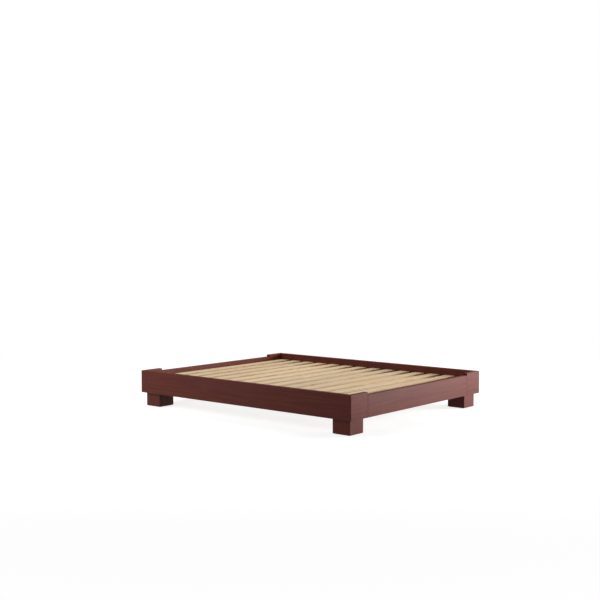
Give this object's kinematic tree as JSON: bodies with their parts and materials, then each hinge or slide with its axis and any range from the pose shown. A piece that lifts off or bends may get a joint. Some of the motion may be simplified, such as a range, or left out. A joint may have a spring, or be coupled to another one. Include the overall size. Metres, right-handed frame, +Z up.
{
  "type": "bed frame",
  "caption": "Low platform bed frame: side boards with mitred corner returns over lower end rails, square block legs, lift-out roll of slats on ledgers and a centre beam.",
  "frame": {"origin": "on the floor under the middle of the bed", "axes": "+X along the bed towards the foot end, +Y across it towards the right side as seen from the foot, +Z up"},
  "size_m": [2.1, 1.7, 0.284],
  "materials": {
    "stained_wood": "red-brown mahogany stain under a satin lacquer",
    "pine": "planed, unfinished",
    "beech": "turned, unfinished",
    "zinc_steel": "zinc plated",
    "felt": "dense pressed felt",
    "webbing": "woven tape",
    "plastic": "moulded, fine texture"
  },
  "bodies": {
    "frame": {"beam_hanger_foot": "zinc_steel", "beam_hanger_head": "zinc_steel", "bolt_washers": "zinc_steel", "centre_beam": "pine", "centre_leg_foot": "pine", "centre_leg_head": "pine", "cleat_screws": "zinc_steel", "corner_block_foot_left": "stained_wood", "corner_block_foot_right": "stained_wood", "corner_block_head_left": "stained_wood", "corner_block_head_right": "stained_wood", "corner_return_foot_left": "stained_wood", "corner_return_foot_right": "stained_wood", "corner_return_head_left": "stained_wood", "corner_return_head_right": "stained_wood", "dowels": "beech", "felt_pad_foot_left": "felt", "felt_pad_foot_right": "felt", "felt_pad_head_left": "felt", "felt_pad_head_right": "felt", "foot_rail": "stained_wood", "frame_bolts": "zinc_steel", "hanger_bolts": "zinc_steel", "hanger_screws": "zinc_steel", "head_rail": "stained_wood", "ledger_left": "stained_wood", "ledger_right": "stained_wood", "ledger_screws": "zinc_steel", "leg_foot_left": "stained_wood", "leg_foot_right": "stained_wood", "leg_head_left": "stained_wood", "leg_head_right": "stained_wood", "rail_cleat_foot_left": "stained_wood", "rail_cleat_foot_right": "stained_wood", "rail_cleat_head_left": "stained_wood", "rail_cleat_head_right": "stained_wood", "side_board_left": "stained_wood", "side_board_right": "stained_wood", "slat_pegs": "beech", "threaded_inserts": "zinc_steel"},
    "slat_deck": {"slat_01": "pine", "slat_02": "pine", "slat_03": "pine", "slat_04": "pine", "slat_05": "pine", "slat_06": "pine", "slat_07": "pine", "slat_08": "pine", "slat_09": "pine", "slat_10": "pine", "slat_11": "pine", "slat_12": "pine", "slat_13": "pine", "slat_14": "pine", "slat_tape_left": "webbing", "slat_tape_right": "webbing"},
    "glide_pad_head": {"glide_pad_head": "plastic"},
    "glide_pad_foot": {"glide_pad_foot": "plastic"},
    "glide_stud_head": {"glide_stud_head": "zinc_steel"},
    "glide_stud_foot": {"glide_stud_foot": "zinc_steel"}
  },
  "joints": [
    {"name": "slat_deck_lift", "type": "slide", "parent": "frame", "child": "slat_deck", "axis": [0, 0, 1], "range_m": [0, 0.2]},
    {"name": "glide_lift_head", "type": "slide", "parent": "frame", "child": "glide_pad_head", "axis": [0, 0, 1], "range_m": [-0.0112, 0.0049]},
    {"name": "glide_turn_head", "type": "hinge", "parent": "glide_pad_head", "child": "glide_stud_head", "pos_m": [-0.34, 0, 0.008], "axis": [0, 0, 1], "range_deg": [-3240, 1440]},
    {"name": "glide_lift_foot", "type": "slide", "parent": "frame", "child": "glide_pad_foot", "axis": [0, 0, 1], "range_m": [-0.0112, 0.0049]},
    {"name": "glide_turn_foot", "type": "hinge", "parent": "glide_pad_foot", "child": "glide_stud_foot", "pos_m": [0.34, 0, 0.008], "axis": [0, 0, 1], "range_deg": [-3240, 1440]}
  ],
  "couplings": [
    {"joint": "glide_turn_head", "follows": "glide_lift_head", "rad_per_m": 5026.5},
    {"joint": "glide_turn_foot", "follows": "glide_lift_foot", "rad_per_m": 5026.5}
  ]
}
